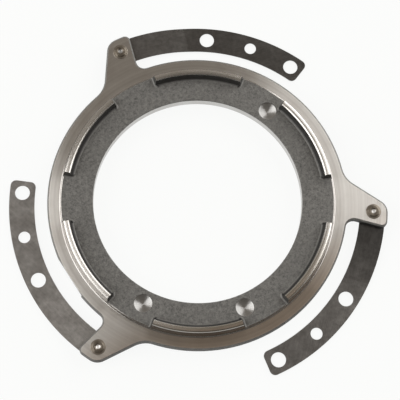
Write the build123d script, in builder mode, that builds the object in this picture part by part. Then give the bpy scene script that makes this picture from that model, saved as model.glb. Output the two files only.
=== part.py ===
from build123d import *
import os
from math import atan2, cos, degrees, hypot, radians, sin, sqrt, tan

# Clutch pressure plate: a cast-iron pressure ring with three ears, and three
# tangential leaf straps, each held under its ear by one rivet.
# Origin: centre of the ring on its friction face. +Z points away from the
# friction face, towards the diaphragm spring. Millimetres and degrees.

# ---- Pressure ring, from the bore outwards ----
bore_dia = 135.0
cast_face_width = 14.8  # bore to the foot of the ridges
flange_width = 8.3  # foot of the turned shoulder to the rim
flange_height = 6.2  # friction face to the turned flange and the ears' tops
shoulder_height = 2.2  # turned flange to the as-cast inner face
shoulder_slope = 80.4  # from the horizontal, also the ridges' outer flank
bore_chamfer = 1.0
bore_edge_break = 0.5
rim_chamfer = 1.0
friction_edge_chamfer = 0.5

# ---- Fulcrum ridges that carry the diaphragm spring ----
ridge_count = 6
ridge_first_angle = 30.0
ridge_span = 39.5  # angle that each ridge covers
ridge_rise = 5.9  # cast face to the crown
ridge_inner_slope = 75.3  # from the horizontal
ridge_crown_width = 3.7
ridge_crown_radius = 3.7
ridge_edge_break = 0.35  # crown's corners
ridge_foot_bevel = 1.2  # slope left at the foot of the inner flank
ridge_end_draft = 8.0
ridge_corner_radius = 2.4

# ---- Ears ----
strap_count = 3
rivet_first_angle = 116.8
ear_relief = 1.2  # friction face up to the strap's seat
ear_overhang = 0.1  # ear's edge beyond the strap's, on the strap's side
ear_flank_overhang = 0.7  # the same at the long flank
ear_tip_overhang = 1.2  # the same at the tip
ear_flare = 30.0  # long flank to the ear's radial centre line
ear_root_radius = 16.0
ear_tip_radius = 9.0
strap_side_root_radius = 5.5
strap_side_tip_radius = 3.5

# ---- Balancing cuts ----
balance_hole_dia = 11.6
balance_bore_wall = 2.8  # bore to the edge of the hole
balance_hole_wall = 0.9  # straight wall above the drill point
drill_point_angle = 118.0
balance_hole_angles = (53.0, 243.0, 293.0)
rim_flat_angle = 213.0
rim_flat_depth = 1.3
rim_flat_stop = 12.5  # from the middle of the flat to where the cutter stopped

# ---- Leaf straps ----
strap_thickness = 0.7
strap_width = 16.4
strap_rim_gap = 8.8  # rim to the strap's inner edge
strap_set = 3.0  # drop from the riveted end to the cover end, unloaded
strap_lay = 11.5  # angle from the rivet round to the bends' common direction
strap_first_bend = 9.6  # rivet to the first bend
strap_second_bend = 45.5  # rivet to the second bend
strap_bend_radius = 12.0
strap_end_margin = 7.9  # last hole's centre to the end of the strap
strap_corner_radius = 3.6
bolt_hole_dia = 9.6
dowel_hole_dia = 7.7
cover_holes = ((30.0, bolt_hole_dia), (45.0, dowel_hole_dia), (60.0, bolt_hole_dia))

# ---- Rivets ----
rivet_shank_dia = 6.0
rivet_strap_clearance = 0.05  # radial
rivet_collar_dia = 9.8  # thin collar pressed on the ear
rivet_collar_height = 0.4
rivet_head_dia = 7.6  # raised crown of the closed head
rivet_head_height = 1.5
rivet_head_slope = 0.5  # radial run of the crown's side
rivet_dimple_dia = 3.8
rivet_dimple_floor_dia = 2.2
rivet_dimple_depth = 1.0
rivet_foot_dia = 10.6
rivet_foot_height = 1.4

# ---- Heights and angles that follow from the sizes above ----
face_height = flange_height + shoulder_height
ridge_height = face_height + ridge_rise
ear_thickness = flange_height - ear_relief
shoulder = radians(shoulder_slope)
inner_flank = radians(ridge_inner_slope)
ear_pitch = 360 / strap_count
ear_angles = [rivet_first_angle + ear_pitch * i for i in range(strap_count)]

# ---- Radii that follow, from the bore outwards ----
bore_r = bore_dia / 2
ridge_foot = Vector(bore_r + cast_face_width, face_height)
crown_sagitta = ridge_crown_radius - sqrt(ridge_crown_radius**2 - (ridge_crown_width / 2) ** 2)
crown_edge_height = ridge_height - crown_sagitta
crown_inner_r = ridge_foot.X + (crown_edge_height - face_height) / tan(inner_flank)
crown_outer_r = crown_inner_r + ridge_crown_width


def shoulder_radius(height):
    """Radius of the turned cone that runs down from the crown's outer edge."""
    return crown_outer_r + (crown_edge_height - height) / tan(shoulder)


rim_r = shoulder_radius(flange_height) + flange_width
hole_circle_r = rim_r + strap_rim_gap + strap_width / 2  # rivets and cover holes
ear_tip_r = hole_circle_r + strap_width / 2 + ear_tip_overhang
balance_hole_r = balance_hole_dia / 2
balance_circle_r = bore_r + balance_bore_wall + balance_hole_r
rivet_shank_r = rivet_shank_dia / 2

os.makedirs("parts", exist_ok=True)


def on_circle(radius, angle):
    """Point in the XY plane at a radius and an angle about the ring's axis."""
    return Vector(radius * cos(radians(angle)), radius * sin(radians(angle)))


# ---- Ridge section: a shallow crown between two flanks ----
crown_middle = Vector((crown_inner_r + crown_outer_r) / 2, ridge_height)
ridge_plan_r = ridge_foot.X - ridge_foot_bevel

with BuildSketch(Plane.XZ) as ridge_section:
    with BuildLine():
        crown = ThreePointArc(
            (crown_inner_r, crown_edge_height),
            crown_middle,
            (crown_outer_r, crown_edge_height),
        )
        Polyline(
            crown @ 0,
            ridge_foot,
            (ridge_plan_r, face_height),
            (ridge_plan_r, flange_height),
            (shoulder_radius(face_height), flange_height),
            (shoulder_radius(face_height), face_height),
            crown @ 1,
        )
    make_face()
    chamfer(ridge_section.vertices().sort_by_distance(ridge_foot)[0], ridge_foot_bevel)
    chamfer(ridge_section.vertices().sort_by_distance(crown_middle)[:2], ridge_edge_break)

with BuildSketch() as ridge_plan:
    with BuildLine():
        inner = CenterArc((0, 0), ridge_plan_r, -ridge_span / 2, ridge_span)
        outer = CenterArc((0, 0), rim_r, -ridge_span / 2, ridge_span)
        Line(inner @ 0, outer @ 0)
        Line(inner @ 1, outer @ 1)
    make_face()
    inner_corners = ridge_plan.vertices().sort_by_distance((0, 0))[:2]
    fillet(inner_corners, ridge_corner_radius)

with BuildPart() as ridge:
    with BuildSketch(Plane.XY.offset(flange_height)):
        add(ridge_plan.sketch)
    extrude(amount=ridge_height - flange_height)
    upright = ridge.faces().filter_by(Axis.Z, reverse=True)
    draft(upright, Plane.XY.offset(face_height), ridge_end_draft)
    revolve(ridge_section.sketch, axis=Axis.Z, mode=Mode.INTERSECT)


# ---- Ear: two flanks and a tip about a rivet on the +X axis ----
def flank_line(direction, normal, overhang):
    """Outer and inner end of a flank that passes beside the rivet."""
    middle = Vector(hole_circle_r, 0) + normal * (strap_width / 2 + overhang)
    return middle - direction * strap_width, middle + direction * (hole_circle_r - bore_r)


flare = radians(ear_flare)
lay = radians(strap_lay)
flank_out, flank_in = flank_line(
    Vector(-cos(flare), sin(flare)), Vector(sin(flare), cos(flare)), ear_flank_overhang
)
strap_side_out, strap_side_in = flank_line(
    Vector(-cos(lay), sin(lay)), Vector(-sin(lay), -cos(lay)), ear_overhang
)

with BuildSketch() as ear:
    with BuildLine():
        Polyline(strap_side_out, flank_out, flank_in, strap_side_in, close=True)
    make_face()
    Circle(ear_tip_r, mode=Mode.INTERSECT)


def ear_corners(vertices, radius, side):
    """Outline corners on a radius and on one side of their ear: 1 flank, -1 strap."""

    def chosen(v):
        turned = degrees(atan2(v.Y, v.X)) - rivet_first_angle
        from_rivet = (turned + ear_pitch / 2) % ear_pitch - ear_pitch / 2
        return abs(hypot(v.X, v.Y) - radius) < 0.01 and from_rivet * side > 0

    return vertices.filter_by(chosen)


with BuildSketch(Plane.XY.offset(ear_relief)) as flange_outline:
    Circle(rim_r)
    with PolarLocations(0, strap_count, start_angle=rivet_first_angle):
        add(ear.sketch)
    fillet(ear_corners(flange_outline.vertices(), rim_r, 1), ear_root_radius)
    fillet(ear_corners(flange_outline.vertices(), rim_r, -1), strap_side_root_radius)
    fillet(ear_corners(flange_outline.vertices(), ear_tip_r, -1), strap_side_tip_radius)
    fillet(ear_corners(flange_outline.vertices(), ear_tip_r, 1), ear_tip_radius)

# ---- Ring section: friction face, cast face and turned shoulder ----
with BuildSketch(Plane.XZ) as ring_section:
    shoulder_foot = Vector(shoulder_radius(flange_height), flange_height)
    bore_edge = Vector(bore_r, face_height)
    with BuildLine():
        Polyline(
            (bore_r + bore_chamfer, 0),
            (rim_r - friction_edge_chamfer, 0),
            (rim_r, friction_edge_chamfer),
            (rim_r, ear_relief),
            (shoulder_foot.X, ear_relief),
            shoulder_foot,
            (shoulder_radius(face_height), face_height),
            bore_edge,
            (bore_r, bore_chamfer),
            close=True,
        )
    make_face()
    chamfer(ring_section.vertices().sort_by_distance(bore_edge)[0], bore_edge_break)

# ---- Balance drilling: straight wall and the drill's conical floor ----
with BuildPart() as balance_drilling:
    with BuildSketch(Plane.XZ):
        floor_height = face_height - balance_hole_wall
        with BuildLine():
            Polyline(
                (0, face_height),
                (balance_hole_r, face_height),
                (balance_hole_r, floor_height),
                (0, floor_height - balance_hole_r / tan(radians(drill_point_angle / 2))),
                close=True,
            )
        make_face()
    revolve(axis=Axis.Z)

with BuildPart() as pressure_ring:
    # flange plate with the ears, then the turned ring and its six ridges
    extrude(flange_outline.sketch, amount=ear_thickness)
    top_outline = pressure_ring.faces().sort_by(Axis.Z)[-1].outer_wire()
    chamfer(top_outline.edges(), rim_chamfer)
    with BuildSketch():
        Circle(bore_r)
    extrude(amount=flange_height, mode=Mode.SUBTRACT)
    revolve(ring_section.sketch, axis=Axis.Z)
    with PolarLocations(0, ridge_count, start_angle=ridge_first_angle):
        add(ridge.part)

    # rivet holes in the ears
    with BuildSketch(Plane.XY.offset(ear_relief)):
        with PolarLocations(hole_circle_r, strap_count, start_angle=rivet_first_angle):
            Circle(rivet_shank_r)
    extrude(amount=ear_thickness, mode=Mode.SUBTRACT)

    # balance drillings in the cast face
    with Locations(*[on_circle(balance_circle_r, a) for a in balance_hole_angles]):
        add(balance_drilling.part, mode=Mode.SUBTRACT)

    # balance flat milled on the rim, up to where the cutter stopped
    with BuildSketch(Plane.XY.rotated((0, 0, rim_flat_angle))):
        with Locations((rim_r - rim_flat_depth, rim_flat_stop)):
            Rectangle(2 * rim_flat_depth, rim_r, align=(Align.MIN, Align.MAX))
    extrude(amount=flange_height, mode=Mode.SUBTRACT)

pressure_ring.part.label = "pressure_ring"
export_step(pressure_ring.part, "parts/pressure_ring.step")

# ---- Leaf strap, drawn with its rivet on the +X axis and its cover end clockwise ----
chord_axis = on_circle(1, -strap_lay - 90)
strap_end_angle = cover_holes[-1][0] + degrees(strap_end_margin / hole_circle_r)

with BuildSketch() as strap_plan:
    with BuildLine():
        strap_in = CenterArc(
            (0, 0), hole_circle_r - strap_width / 2, -strap_end_angle, strap_end_angle
        )
        strap_out = CenterArc(
            (0, 0), hole_circle_r + strap_width / 2, -strap_end_angle, strap_end_angle
        )
        ThreePointArc(strap_in @ 1, (hole_circle_r, strap_width / 2), strap_out @ 1)
        cover_end = Line(strap_in @ 0, strap_out @ 0)
    make_face()
    end_corners = strap_plan.vertices().sort_by_distance(cover_end @ 0.5)[:2]
    fillet(end_corners, strap_corner_radius)
    with Locations((hole_circle_r, 0)):
        Circle(rivet_shank_r + rivet_strap_clearance, mode=Mode.SUBTRACT)
    for hole_angle, hole_dia in cover_holes:
        with Locations(on_circle(hole_circle_r, -hole_angle)):
            Circle(hole_dia / 2, mode=Mode.SUBTRACT)

with BuildPart() as leaf:
    # bent strip, seen from the ring's axis: seat, slope and cover end
    strap_side = Plane((hole_circle_r, 0, ear_relief), chord_axis, on_circle(-1, -strap_lay))
    with BuildSketch(strap_side):
        with BuildLine():
            strip_top = FilletPolyline(
                (-strap_width, 0),
                (strap_first_bend, 0),
                (strap_second_bend, -strap_set),
                (2 * hole_circle_r, -strap_set),
                radius=strap_bend_radius,
            )
            offset(strip_top, amount=strap_thickness, side=Side.RIGHT, closed=True)
        make_face()
    extrude(amount=hole_circle_r, both=True)
    extrude(
        strap_plan.sketch.moved(Location((0, 0, ear_relief - 2 * strap_set))),
        amount=3 * strap_set,
        mode=Mode.INTERSECT,
    )

# ---- Rivet: collar, closed head with a dimple, and a flat foot under the strap ----
strap_seat = ear_relief - strap_thickness
head_top = flange_height + rivet_head_height
with BuildPart() as rivet_blank:
    with BuildSketch(Plane.XZ):
        with BuildLine():
            Polyline(
                (0, strap_seat - rivet_foot_height),
                (rivet_foot_dia / 2, strap_seat - rivet_foot_height),
                (rivet_foot_dia / 2, strap_seat),
                (rivet_shank_r, strap_seat),
                (rivet_shank_r, flange_height),
                (rivet_collar_dia / 2, flange_height),
                (rivet_collar_dia / 2, flange_height + rivet_collar_height),
                (rivet_head_dia / 2, flange_height + rivet_collar_height),
                (rivet_head_dia / 2 - rivet_head_slope, head_top),
                (rivet_dimple_dia / 2, head_top),
                (rivet_dimple_floor_dia / 2, head_top - rivet_dimple_depth),
                (0, head_top - rivet_dimple_depth),
                close=True,
            )
        make_face()
    revolve(axis=Axis.Z)

for number, angle in enumerate(ear_angles, start=1):
    with BuildPart() as strap:
        with Locations(Location((0, 0, 0), (0, 0, angle))):
            add(leaf.part)
    strap.part.label = f"leaf_strap_{number}"
    export_step(strap.part, f"parts/leaf_strap_{number}.step")

    with BuildPart() as rivet:
        with Locations(on_circle(hole_circle_r, angle)):
            add(rivet_blank.part)
    rivet.part.label = f"ear_rivet_{number}"
    export_step(rivet.part, f"parts/ear_rivet_{number}.step")
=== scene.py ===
from math import cos, hypot, pi, radians, sin

import bmesh
import bpy
from mathutils import Matrix, Vector


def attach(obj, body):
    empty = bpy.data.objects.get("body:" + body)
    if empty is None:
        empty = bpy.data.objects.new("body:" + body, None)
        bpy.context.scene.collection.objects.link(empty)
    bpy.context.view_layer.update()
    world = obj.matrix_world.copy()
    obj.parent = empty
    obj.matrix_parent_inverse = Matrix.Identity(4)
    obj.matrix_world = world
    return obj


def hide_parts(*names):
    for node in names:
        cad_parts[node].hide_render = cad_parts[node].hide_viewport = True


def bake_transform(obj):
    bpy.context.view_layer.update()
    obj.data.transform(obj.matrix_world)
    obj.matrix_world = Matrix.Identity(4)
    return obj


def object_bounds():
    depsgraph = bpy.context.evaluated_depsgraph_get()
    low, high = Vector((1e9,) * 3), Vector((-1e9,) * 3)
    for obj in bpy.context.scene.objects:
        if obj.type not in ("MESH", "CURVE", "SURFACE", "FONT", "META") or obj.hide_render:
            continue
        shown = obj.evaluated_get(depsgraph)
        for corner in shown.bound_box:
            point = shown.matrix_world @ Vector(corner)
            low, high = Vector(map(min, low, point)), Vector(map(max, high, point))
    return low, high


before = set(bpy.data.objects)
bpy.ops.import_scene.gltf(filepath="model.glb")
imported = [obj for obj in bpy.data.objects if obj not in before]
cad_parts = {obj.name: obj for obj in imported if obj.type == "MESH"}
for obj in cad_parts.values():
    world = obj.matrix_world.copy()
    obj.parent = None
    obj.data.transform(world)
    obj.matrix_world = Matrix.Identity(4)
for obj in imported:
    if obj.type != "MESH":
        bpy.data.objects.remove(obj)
cad_box = [list(corner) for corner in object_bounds()]
scene = bpy.context.scene
scene.view_settings.view_transform = "Standard"

MM = 0.001

# ---- Sizes shared with the CAD, millimetres and degrees ----
BORE_R = 67.5
FLANGE_Z = 6.2
FACE_Z = 8.4
EDGE_Z = 5.1  # lower edge of the outline's chamfer
RIM_FLAT_ANGLE = 213.0  # the milled balance flat
SHOULDER_MAX_R = 90.0  # between the turned shoulder and the rim
FOOT_HEIGHT = 1.3  # cast face to the top of the bevelled foot of a ridge
RIVET_CIRCLE_R = 114.0
RIVET_ANGLES = (116.8, 236.8, 356.8)
HOLE_CIRCLE_R = 76.1  # the drilled balance holes
HOLE_R = 5.8
HOLE_ANGLES = (53.0, 243.0, 293.0)
STRAP_LAY = 11.5  # rivet round to the bends' common direction
STRAP_BENDS = (9.6, 45.5)  # rivet to the first and the second bend
STRAP_TOP_Z = 1.2
STRAP_CUTS = 14  # cuts across the strap between the bends

# ---- Oil, wear and painted light, floor and camera ----
OIL_ANGLE = 295.0  # middle of the oiled side
STRAP_PAINTED_LIGHT = ((0.93, 0.74), (1.72, 1.6), (0.48, 1.08))  # painted light and shade on each strap, at the rivet and at the far end
RIVET_WEAR_AND_HIGHLIGHT = (0.35, 0.95, 0.7)  # how bright each rivet's dimple is, part real wear and part painted highlight
RIVET_STEPS = 72
FLOOR_R = 6.0  # metres
FLOOR_Z = cad_box[0][2] - 1.1 * MM  # clears the straps at their joints' lower limit
BACKGROUND_SHARE = 0.92  # the rest of the floor's look is lit paint, which keeps the shadow
CAMERA_PLACE = (-26.2, -219.0, 830.1)
CAMERA_BACK = (-0.0306, -0.2552, 0.9664)
CAMERA_LENS = 118.85
CAMERA_SHIFT = (0.0060, 0.0067)


def direction(angle):
    return Vector((cos(radians(angle)), sin(radians(angle)), 0))


def on_circle(radius, angle, z=0.0):
    a = radians(angle)
    return Vector((radius * cos(a), radius * sin(a), z)) * MM


# ---- Camera ----
def make_camera():
    """Looks down at the ring from about 75 degrees above the floor."""
    back = Vector(CAMERA_BACK).normalized()
    right = Vector((0, 1, 0)).cross(back).normalized()
    up = back.cross(right)
    data = bpy.data.cameras.new("camera")
    data.lens = CAMERA_LENS
    data.sensor_width = 36
    data.shift_x, data.shift_y = CAMERA_SHIFT
    data.clip_start = 0.01
    data.clip_end = 50
    camera = bpy.data.objects.new("camera", data)
    turn = Matrix((right, up, back)).transposed().to_4x4()
    camera.matrix_world = Matrix.Translation(Vector(CAMERA_PLACE) * MM) @ turn
    scene.collection.objects.link(camera)
    scene.camera = camera


# ---- Shader graphs ----
class Graph:
    """The nodes of a new material, or of a tree that is there already, added by short calls."""

    def __init__(self, name=None, tree=None):
        self.tree = tree
        if name:
            self.material = bpy.data.materials.new(name)
            self.material.use_nodes = True
            self.tree = self.material.node_tree
            self.shader = self.tree.nodes["Principled BSDF"]

    def put(self, socket, value):
        if isinstance(value, bpy.types.NodeSocket):
            self.tree.links.new(value, socket)
        else:
            socket.default_value = value

    def node(self, kind, inputs=(), **settings):
        made = self.tree.nodes.new("ShaderNode" + kind)
        for name, value in settings.items():
            setattr(made, name, value)
        for key, value in dict(inputs).items():
            self.put(made.inputs[key], value)
        return made

    def math(self, operation, a, b=0.0):
        return self.node("Math", {0: a, 1: b}, operation=operation).outputs[0]

    def vector_math(self, operation, a, b=(0, 0, 0)):
        return self.node("VectorMath", {0: a, 1: b}, operation=operation).outputs[0]

    def dot(self, a, b):
        return self.node("VectorMath", {0: a, 1: b}, operation="DOT_PRODUCT").outputs["Value"]

    def grey(self, value):
        return self.node("CombineColor", {0: value, 1: value, 2: value}).outputs[0]

    def where(self):
        """Position in the piece's own coordinates, in metres."""
        return self.node("TexCoord").outputs["Object"]

    def noise(self, vector, size, detail=3.0, roughness=0.55, dims="3D"):
        """Noise whose features are about size millimetres."""
        key = "W" if dims == "1D" else "Vector"
        inputs = {key: vector, "Scale": 1 / (size * MM), "Detail": detail, "Roughness": roughness}
        return self.node("TexNoise", inputs, noise_dimensions=dims).outputs["Fac"]

    def span(self, value, low, high, start=0.0, end=1.0):
        """value mapped from start..end to low..high, clamped."""
        inputs = {"Value": value, "From Min": start, "From Max": end, "To Min": low, "To Max": high}
        return self.node("MapRange", inputs).outputs["Result"]

    def mix(self, factor, a, b, blend="MIX"):
        made = self.node("Mix", data_type="RGBA", blend_type=blend)
        self.put(made.inputs["Factor"], factor)
        for key, value in ((6, a), (7, b)):
            if not isinstance(value, bpy.types.NodeSocket):
                value = (*value, 1)
            self.put(made.inputs[key], value)
        return made.outputs[2]

    def radius_and_z(self, vector):
        split = self.node("SeparateXYZ", {0: vector}).outputs
        flat = self.node("CombineXYZ", {0: split[0], 1: split[1]}).outputs[0]
        return self.node("VectorMath", {0: flat}, operation="LENGTH").outputs["Value"], split[2]

    def outward(self, vector):
        """Unit vector away from the Z axis through vector's origin."""
        return self.vector_math("NORMALIZE", self.vector_math("MULTIPLY", vector, (1, 1, 0)))

    def bump(self, height, distance, normal=None):
        inputs = {"Height": height, "Distance": distance * MM, "Strength": 1.0}
        if normal is not None:
            inputs["Normal"] = normal
        return self.node("Bump", inputs).outputs["Normal"]

    def finish(self, **inputs):
        for key, value in inputs.items():
            name = key.replace("_", " ").title()
            if not isinstance(value, bpy.types.NodeSocket) and name == "Base Color":
                value = (*value, 1)
            self.put(self.shader.inputs[name], value)
        return self.material


def cast_iron(name, dark, light, grain, shade=None):
    """As-cast skin: sandy grain, fine pits and a slow change of tone.

    shade is the pair of heights between which it darkens upwards as painted shade, if it does.
    """
    g = Graph(name)
    p = g.where()
    coarse = g.noise(p, 2.2, 4, 0.7)
    fine = g.noise(p, 0.9, 3, 0.65)
    slow = g.noise(p, 14, 2)
    pits = g.node("TexVoronoi", {"Vector": p, "Scale": 1 / (1.1 * MM)}).outputs["Distance"]
    pit = g.span(pits, 0, 1, 0.05, 0.35)
    tone = g.math("ADD", g.math("MULTIPLY", coarse, 0.45), g.math("MULTIPLY", fine, 0.55))
    tone = g.span(tone, 0, 1, 0.31, 0.69)
    color = g.mix(tone, dark, light)
    color = g.mix(g.span(pits, 0.6, 0, 0.05, 0.16), color, dark)
    color = g.mix(g.span(slow, 0, 0.3), color, (0.075, 0.073, 0.07))
    if shade:
        # painted shade: darker from the lower height up to the upper one
        z = g.radius_and_z(p)[1]
        color = g.mix(g.span(z, 0, 1, shade[0] * MM, shade[1] * MM), color, (0.02, 0.019, 0.018))
    height = g.math("ADD", g.math("MULTIPLY", coarse, 0.7), g.math("MULTIPLY", fine, 0.35))
    height = g.math("ADD", height, g.math("MULTIPLY", pit, 0.12))
    return g.finish(
        base_color=color,
        metallic=0.35,
        roughness=g.span(fine, 0.45, 0.75, 0.3, 0.7),
        normal=g.bump(height, grain),
    )


def turned_iron(
    name, dark, light, centre=(0, 0), rough=(0.26, 0.34), along_z=False, flat=0.9, film=None
):
    """Lathe-turned iron: fine lines round the axis, which spread each light across them.

    flat is how strongly they do so, along_z says that the lines follow each other up the axis
    and not outwards, and film is the tint of old oil on one side of the ring.
    """
    g = Graph(name)
    p = g.vector_math("SUBTRACT", g.where(), (centre[0], centre[1], 0))
    radius, z = g.radius_and_z(p)
    track = z if along_z else radius
    lines = g.noise(track, 0.5, 4, 0.7, dims="1D")
    bands = g.noise(track, 3.5, 2, 0.5, dims="1D")
    stain = g.noise(p, 22, 3)
    tone = g.math("ADD", g.math("MULTIPLY", lines, 0.65), g.math("MULTIPLY", bands, 0.35))
    color = g.mix(g.span(tone, 0, 1, 0.3, 0.7), dark, light)
    color = g.mix(g.span(stain, 0, 0.25, 0.45, 0.75), color, (0.26, 0.22, 0.18))
    if film:
        side = g.dot(p, direction(OIL_ANGLE))
        color = g.mix(g.span(side, 0, 1, 55 * MM, 82 * MM), color, film, "MULTIPLY")
    across = g.node("CombineXYZ", {2: 1.0}).outputs[0] if along_z else g.outward(p)
    return g.finish(
        base_color=color,
        metallic=1.0,
        roughness=g.span(lines, *rough, 0.3, 0.7),
        anisotropic=flat,
        tangent=across,
        normal=g.bump(lines, 0.012),
    )


# ---- Meshes ----
def copy_of_node(node, name):
    """A new piece with the node's shape: vertices joined and flat areas made whole."""
    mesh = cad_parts[node].data.copy()
    mesh.name = name
    mesh.materials.clear()
    form = bmesh.new()
    form.from_mesh(mesh)
    bmesh.ops.remove_doubles(form, verts=form.verts, dist=0.002 * MM)
    bmesh.ops.dissolve_limit(form, angle_limit=radians(0.4), verts=form.verts, edges=form.edges)
    return form, mesh


def place(form, mesh, name):
    """Shows the form smooth-shaded, with sharp edges at corners and where two finishes meet."""
    form.to_mesh(mesh)
    form.free()
    for layer in list(mesh.uv_layers):
        mesh.uv_layers.remove(layer)
    mesh.polygons.foreach_set("use_smooth", [True] * len(mesh.polygons))
    mesh.set_sharp_from_angle(angle=radians(28))
    finishes = {}
    for face in mesh.polygons:
        for key in face.edge_keys:
            finishes.setdefault(key, set()).add(face.material_index)
    for edge in mesh.edges:
        if len(finishes.get(edge.key, ())) > 1:
            edge.use_edge_sharp = True
    piece = bpy.data.objects.new(name, mesh)
    scene.collection.objects.link(piece)
    weighted = piece.modifiers.new("normals", "WEIGHTED_NORMAL")
    weighted.keep_sharp = True
    weighted.weight = 90
    return piece


def ring_zone(face):
    """Which finish a face of the ring has, from its place and direction."""
    c, n = face.calc_center_median() / MM, face.normal
    radius = hypot(c.x, c.y)
    outward = (n.x * c.x + n.y * c.y) / radius
    for number, angle in enumerate(HOLE_ANGLES):
        drill = on_circle(HOLE_CIRCLE_R, angle) / MM
        if hypot(c.x - drill.x, c.y - drill.y) < HOLE_R + 0.05 and 2 < c.z < FACE_Z - 0.01:
            return f"drilled_{number + 1}" if n.z > 0.3 else "rim"
    if n.z < -0.5 and c.z < 1.0:
        return "ground"
    if radius < BORE_R + 0.9 and abs(n.z) < 0.9:
        return "cast" if n.z > 0.3 else "bore"
    if n.z < -0.5:
        return "rim"
    milled = direction(RIM_FLAT_ANGLE)
    if hypot(n.dot(milled), n.z) > 0.9995 and c.dot(milled) > radius * 0.97 > 92 and abs(n.z) < 0.9:
        return "milled"
    if 0.4 < n.z < 0.95 and EDGE_Z < c.z < FLANGE_Z and outward > -0.99:
        return "edge"
    if c.z > FACE_Z + 0.02 and n.z < 0.99:
        tangential = abs(n.x * c.y - n.y * c.x) / radius
        if tangential > 0.25:
            return "ridge_end"
        if outward < -0.1 and c.z < FACE_Z + FOOT_HEIGHT and n.z > 0.36:
            return "foot"
        if outward > 0.8:
            return "shoulder"
        return "flank" if outward < -0.8 else "crown"
    if abs(c.z - FACE_Z) < 0.05 and n.z > 0.99:
        return "cast"
    if outward > 0.8 and radius < SHOULDER_MAX_R and c.z > FLANGE_Z:
        return "shoulder"
    if abs(n.z) < 0.3 and outward > -0.99 and c.z < FLANGE_Z:
        return "rim"
    return "turned"


def soften_feet(form, order):
    """Rounds the toes of the ridges' ends and both edges of the shoulder between the ridges.

    Each round is a pair of finishes that meet, the size in mm, the segments and the new finish.
    """
    rounds = (
        ({"cast", "ridge_end"}, 1.2, 2, "foot"),
        ({"cast", "shoulder"}, 0.4, 2, "shoulder"),
        ({"shoulder", "turned"}, 0.6, 3, "shoulder"),
    )
    for pair, offset, segments, finish in rounds:
        edges = [
            edge for edge in form.edges
            if {order[face.material_index] for face in edge.link_faces} == pair
            and min(abs(edge.verts[0].co.z - z * MM) for z in (FLANGE_Z, FACE_Z)) < 0.02 * MM
            and abs(edge.verts[0].co.z - edge.verts[1].co.z) < 0.02 * MM
        ]
        bmesh.ops.bevel(
            form,
            geom=edges,
            offset=offset * MM,
            segments=segments,
            profile=0.5,
            affect="EDGES",
            material=order.index(finish),
        )
    bmesh.ops.dissolve_degenerate(form, dist=0.001 * MM, edges=form.edges)


def make_ring():
    form, mesh = copy_of_node("pressure_ring", "pressure_ring_dressed")
    finishes = {
        "turned": turned_iron(
            "turned_iron", (0.54, 0.515, 0.485), (0.72, 0.70, 0.665), rough=(0.32, 0.40),
            film=(1.0, 0.905, 0.825)
        ),
        # the crown's film is darker than the flange's: the old oil tint deepened as painted shade on that
        # side
        "crown": turned_iron(
            "turned_crown_with_painted_shade", (0.56, 0.535, 0.505), (0.70, 0.68, 0.645), rough=(0.24, 0.30), flat=0.75,
            film=(0.72, 0.69, 0.63)
        ),
        "cast": cast_iron("cast_iron_face", (0.055, 0.054, 0.051), (0.28, 0.273, 0.255), 0.4),
        # ends of the ridges: near-black, painted shade
        "ridge_end": cast_iron("cast_iron_ridge_end_painted_shade", (0.03, 0.029, 0.027), (0.09, 0.087, 0.08), 0.2),
        # inner flanks of the ridges: near-black, painted shade
        "flank": cast_iron("cast_iron_flank_painted_shade", (0.012, 0.011, 0.010), (0.05, 0.048, 0.044), 0.15),
        # ridge feet: a little lighter than the face as a painted highlight of the fillet, with painted shade
        # upwards
        "foot": cast_iron(
            "cast_iron_foot_painted_light_and_shade", (0.12, 0.117, 0.11), (0.30, 0.293, 0.275), 0.15,
            shade=(FACE_Z + 0.1, FACE_Z + 1.0)
        ),
        "ground": turned_iron(
            "ground_iron", (0.48, 0.475, 0.47), (0.60, 0.595, 0.59), rough=(0.26, 0.34), flat=0.6
        ),
        "milled": turned_iron(
            "milled_flat", (0.50, 0.49, 0.475), (0.60, 0.59, 0.575), along_z=True, flat=0.3
        ),
        "bore": turned_iron(
            "turned_bore", (0.50, 0.49, 0.475), (0.60, 0.59, 0.575), along_z=True, flat=0.5
        ),
        "shoulder": turned_iron(
            "turned_shoulder", (0.40, 0.385, 0.37), (0.52, 0.50, 0.475), rough=(0.16, 0.22), flat=0.5
        ),
        # outer rim, undersides and the drillings' walls: as-cast skin darkened to near black as painted
        # shade
        "rim": cast_iron("cast_iron_rim_with_painted_shade", (0.02, 0.019, 0.018), (0.06, 0.058, 0.055), 0.15),
        "edge": cast_iron("cast_iron_edge", (0.12, 0.118, 0.11), (0.28, 0.275, 0.26), 0.15),
    }
    for number, angle in enumerate(HOLE_ANGLES):
        centre = on_circle(HOLE_CIRCLE_R, angle)
        finishes[f"drilled_{number + 1}"] = turned_iron(
            f"drilled_iron_{number + 1}",
            (0.40, 0.395, 0.385),
            (0.56, 0.555, 0.54),
            (centre.x, centre.y),
            rough=(0.40, 0.48),
            flat=0.8,
        )
    order = list(finishes)
    for finish in finishes.values():
        mesh.materials.append(finish)
    for face in form.faces:
        face.material_index = order.index(ring_zone(face))
    soften_feet(form, order)
    ring = place(form, mesh, "pressure_ring_dressed")
    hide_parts("pressure_ring")
    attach(ring, "ring")


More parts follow.
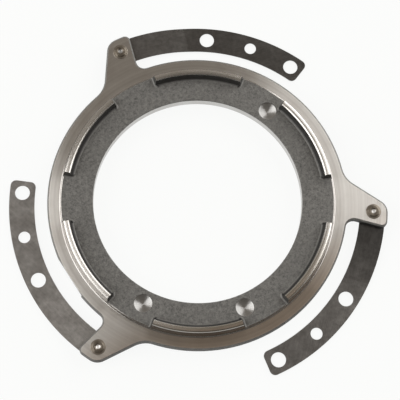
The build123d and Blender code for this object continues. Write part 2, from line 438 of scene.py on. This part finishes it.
def spring_steel(name, grain, start, painted_light_ends):
    """Dark tempered strip, drawn along grain (degrees), with faint stains.

    start is the rivet's place along the grain, and the last argument holds the strap's painted light and
    shade there and far past it.
    """
    g = Graph(name)
    p = g.where()
    across = direction(grain + 90)
    place_across = g.dot(p, across)
    place_along = g.dot(p, direction(grain))
    stretched = g.node(
        "CombineXYZ", {0: g.math("MULTIPLY", place_along, 0.04), 1: place_across}
    ).outputs[0]
    lines = g.noise(stretched, 0.5, 3, 0.6)
    cloud = g.noise(p, 9, 3, 0.5)
    color = g.mix(g.span(lines, 0, 1, 0.3, 0.7), (0.135, 0.128, 0.12), (0.175, 0.167, 0.158))
    color = g.mix(g.span(cloud, 0, 0.35, 0.5, 0.8), color, (0.26, 0.25, 0.235))
    smudge = g.span(g.noise(p, 2.6, 4, 0.6), 0.84, 1.16, 0.3, 0.7)
    # painted light and shade: each strap darkened or brightened from the rivet to its far end, times the
    # real smudges
    tone = g.math("MULTIPLY", smudge, g.span(place_along, *painted_light_ends, start + 18 * MM, start + 62 * MM))
    color = g.mix(1.0, color, g.grey(tone), "MULTIPLY")
    tangent = g.node("CombineXYZ", {0: across.x, 1: across.y}).outputs[0]
    return g.finish(
        base_color=color,
        metallic=0.9,
        roughness=g.span(cloud, 0.36, 0.46, 0.3, 0.7),
        anisotropic=0.55,
        tangent=tangent,
        normal=g.bump(lines, 0.006),
    )


def make_strap(number, rivet_angle):
    """A strap, cut across between its bends."""
    node = f"leaf_strap_{number}"
    form, mesh = copy_of_node(node, f"{node}_dressed")
    lay = rivet_angle - STRAP_LAY - 90
    along = direction(lay)
    rivet = on_circle(RIVET_CIRCLE_R, rivet_angle, STRAP_TOP_Z)
    first, second = STRAP_BENDS
    for cut in range(STRAP_CUTS + 1):
        at = rivet + along * (first + (second - first) * cut / STRAP_CUTS) * MM
        bmesh.ops.bisect_plane(
            form, geom=form.verts[:] + form.edges[:] + form.faces[:], plane_co=at, plane_no=along, dist=1e-7
        )
    steel = spring_steel(f"spring_steel_{number}", lay, rivet.dot(along), STRAP_PAINTED_LIGHT[number - 1])
    mesh.materials.append(steel)
    strap = place(form, mesh, f"{node}_dressed")
    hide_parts(node)
    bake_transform(strap)


def rivet_steel(name, centre):
    """Phosphated steel, worn bright in the dimple to the brightness centre, part real wear and part painted
    highlight.
    """
    g = Graph(name)
    p = g.where()
    radius = g.radius_and_z(p)[0]
    lines = g.noise(radius, 0.3, 3, 0.6, dims="1D")
    cloud = g.noise(p, 2.2, 4, 0.6)
    color = g.mix(g.span(lines, 0, 1, 0.3, 0.7), (0.13, 0.11, 0.085), (0.30, 0.265, 0.22))
    color = g.mix(g.span(cloud, 0, 0.6, 0.45, 0.7), color, (0.09, 0.07, 0.05))
    color = g.mix(g.span(radius, 0, 0.5, 3.8 * MM, 4.1 * MM), color, (0.34, 0.305, 0.26))
    # the dimple: worn metal brightened per rivet, part real wear and part painted highlight
    worn = g.span(radius, 1, 0, 1.2 * MM, 1.6 * MM)
    color = g.mix(worn, color, (centre, centre * 0.98, centre * 0.95))
    return g.finish(
        base_color=color,
        metallic=0.9,
        roughness=g.math("ADD", g.span(cloud, 0.3, 0.45, 0.3, 0.7), g.math("MULTIPLY", worn, 0.15)),
        anisotropic=0.4,
        tangent=g.outward(p),
        normal=g.bump(lines, 0.01),
    )


# half section of a rivet from the foot's centre to the dimple's, radius and height in mm
RIVET_SECTION = (
    (0.0, -0.9), (4.9, -0.9), (5.12, -0.84), (5.25, -0.7), (5.3, -0.5), (5.3, 0.5), (3.0, 0.5),
    (3.0, 6.2), (4.9, 6.2), (4.9, 6.44), (4.84, 6.54), (4.7, 6.6), (4.1, 6.6), (3.9, 6.63),
    (3.79, 6.74), (3.7, 6.92), (3.52, 7.35), (3.42, 7.55), (3.25, 7.67), (3.0, 7.7), (2.2, 7.7),
    (2.02, 7.67), (1.88, 7.58), (1.74, 7.4), (1.46, 7.08), (1.2, 6.92), (0.8, 6.77), (0.4, 6.71), (0.0, 6.7),
)


def rivet_mesh(name, finish):
    """The section turned about the Z axis."""
    form = bmesh.new()
    rings = []
    for radius, z in RIVET_SECTION:
        if radius == 0:
            rings.append([form.verts.new((0, 0, z * MM))])
        else:
            angles = [360 * i / RIVET_STEPS for i in range(RIVET_STEPS)]
            rings.append([form.verts.new(on_circle(radius, angle, z)) for angle in angles])
    for low, high in zip(rings, rings[1:]):
        for i in range(RIVET_STEPS):
            j = (i + 1) % RIVET_STEPS
            corners = [low[i % len(low)], low[j % len(low)], high[j % len(high)], high[i % len(high)]]
            form.faces.new(list(dict.fromkeys(corners)))
    bmesh.ops.recalc_face_normals(form, faces=form.faces)
    mesh = bpy.data.meshes.new(name)
    mesh.materials.append(finish)
    form.to_mesh(mesh)
    form.free()
    mesh.polygons.foreach_set("use_smooth", [True] * len(mesh.polygons))
    mesh.set_sharp_from_angle(angle=radians(50))
    return mesh


def make_rivets():
    for number, angle in enumerate(RIVET_ANGLES, start=1):
        name = f"ear_rivet_{number}_dressed"
        mesh = rivet_mesh(name, rivet_steel(f"rivet_steel_{number}", RIVET_WEAR_AND_HIGHLIGHT[number - 1]))
        rivet = bpy.data.objects.new(name, mesh)
        rivet.location = on_circle(RIVET_CIRCLE_R, angle)
        scene.collection.objects.link(rivet)
        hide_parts(f"ear_rivet_{number}")
        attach(rivet, "ring")


# ---- Floor, lights and world ----
def seen_or_mirrored(g):
    """1 where the background is seen directly, in metal or through glass, 0 where it only lights."""
    rays = g.node("LightPath").outputs
    seen = g.math("MAXIMUM", rays["Is Camera Ray"], rays["Is Transmission Ray"])
    return g.math("MAXIMUM", seen, rays["Is Glossy Ray"])


def make_floor():
    form = bmesh.new()
    bmesh.ops.create_circle(form, cap_ends=True, segments=96, radius=FLOOR_R)
    mesh = bpy.data.meshes.new("floor")
    form.to_mesh(mesh)
    form.free()
    floor = bpy.data.objects.new("floor", mesh)
    floor.location = (0, 0, FLOOR_Z)
    scene.collection.objects.link(floor)
    g = Graph("floor_paint")
    g.finish(base_color=(0.86, 0.87, 0.86), roughness=0.9)
    plain = g.node("Emission", {"Color": (0.982, 0.988, 0.98, 1), "Strength": 1.0})
    blend = g.node("MixShader", {0: g.math("MULTIPLY", seen_or_mirrored(g), BACKGROUND_SHARE)})
    g.put(blend.inputs[1], g.shader.outputs[0])
    g.put(blend.inputs[2], plain.outputs[0])
    g.put(g.tree.nodes["Material Output"].inputs["Surface"], blend.outputs[0])
    mesh.materials.append(g.material)


def area_light(name, azimuth, elevation, distance, width, height, radiance):
    """A soft panel aimed at the ring. radiance is what a camera facing it would see."""
    a, e = radians(azimuth), radians(elevation)
    away = Vector((cos(a) * cos(e), sin(a) * cos(e), sin(e)))
    data = bpy.data.lights.new(name, "AREA")
    data.shape = "RECTANGLE"
    data.size = width
    data.size_y = height
    data.energy = radiance * pi * width * height
    lamp = bpy.data.objects.new(name, data)
    lamp.location = away * distance
    lamp.rotation_mode = "QUATERNION"
    lamp.rotation_quaternion = away.to_track_quat("Z", "Y")
    lamp.visible_camera = False
    scene.collection.objects.link(lamp)


def make_world():
    """A dim room, brighter behind the ring than in front, with a pale horizon."""
    world = bpy.data.worlds.new("studio")
    scene.world = world
    world.use_nodes = True
    g = Graph(tree=world.node_tree)
    split = g.node("SeparateXYZ", {0: g.node("TexCoord").outputs["Generated"]}).outputs
    room = g.span(split[1], 0.12, 0.34, -0.75, 0.6)
    tint = g.mix(1.0, g.grey(room), (1.0, 0.90, 0.79), "MULTIPLY")
    horizon = g.math("MULTIPLY", g.span(split[2], 1, 0, 0.04, 0.12), seen_or_mirrored(g))
    sky = g.mix(horizon, tint, (0.88, 0.88, 0.87))
    g.put(g.tree.nodes["Background"].inputs[0], sky)


make_camera()
make_ring()
for strap_number, strap_rivet_angle in enumerate(RIVET_ANGLES, start=1):
    make_strap(strap_number, strap_rivet_angle)
make_rivets()
make_floor()
area_light("key", azimuth=29, elevation=30, distance=1.5, width=1.8, height=1.6, radiance=2.4)
area_light("fill", azimuth=186, elevation=31, distance=1.5, width=1.7, height=1.6, radiance=2.65)
make_world()
